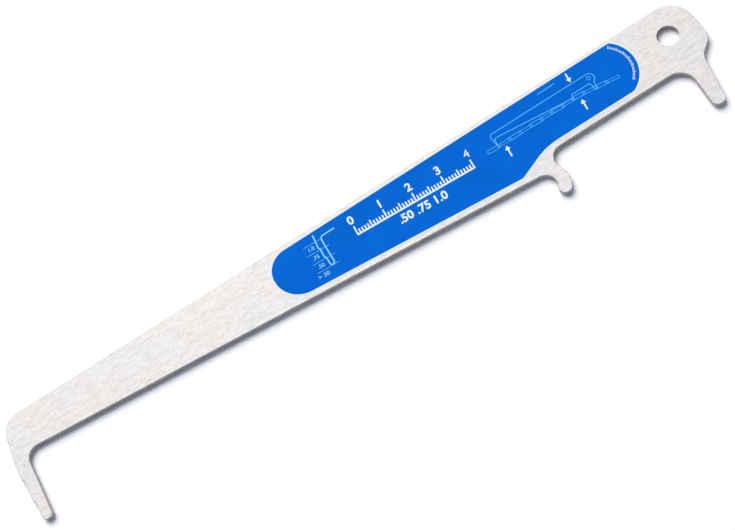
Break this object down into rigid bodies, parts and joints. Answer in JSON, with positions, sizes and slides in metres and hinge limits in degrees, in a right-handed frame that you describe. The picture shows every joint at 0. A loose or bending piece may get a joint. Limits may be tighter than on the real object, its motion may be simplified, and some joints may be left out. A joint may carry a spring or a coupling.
{
  "type": "chain wear gauge",
  "caption": "Flat steel gauge hooked into a roller chain, with a stepped finger that shows the chain's wear, a curved middle prong and a head prong.",
  "frame": {"origin": "centre of the hanging hole, on the plate's back face, which the gauge lies on", "axes": "+X along the straight back edge, from the measuring finger to the head; +Y square to it, away from the prongs; +Z out of the printed face"},
  "size_m": [0.2426, 0.0376, 0.0021],
  "materials": {
    "steel": "satin",
    "ink": "satin"
  },
  "bodies": {
    "root": {"gauge_plate": "steel", "printed_panel": "ink"}
  },
  "joints": []
}
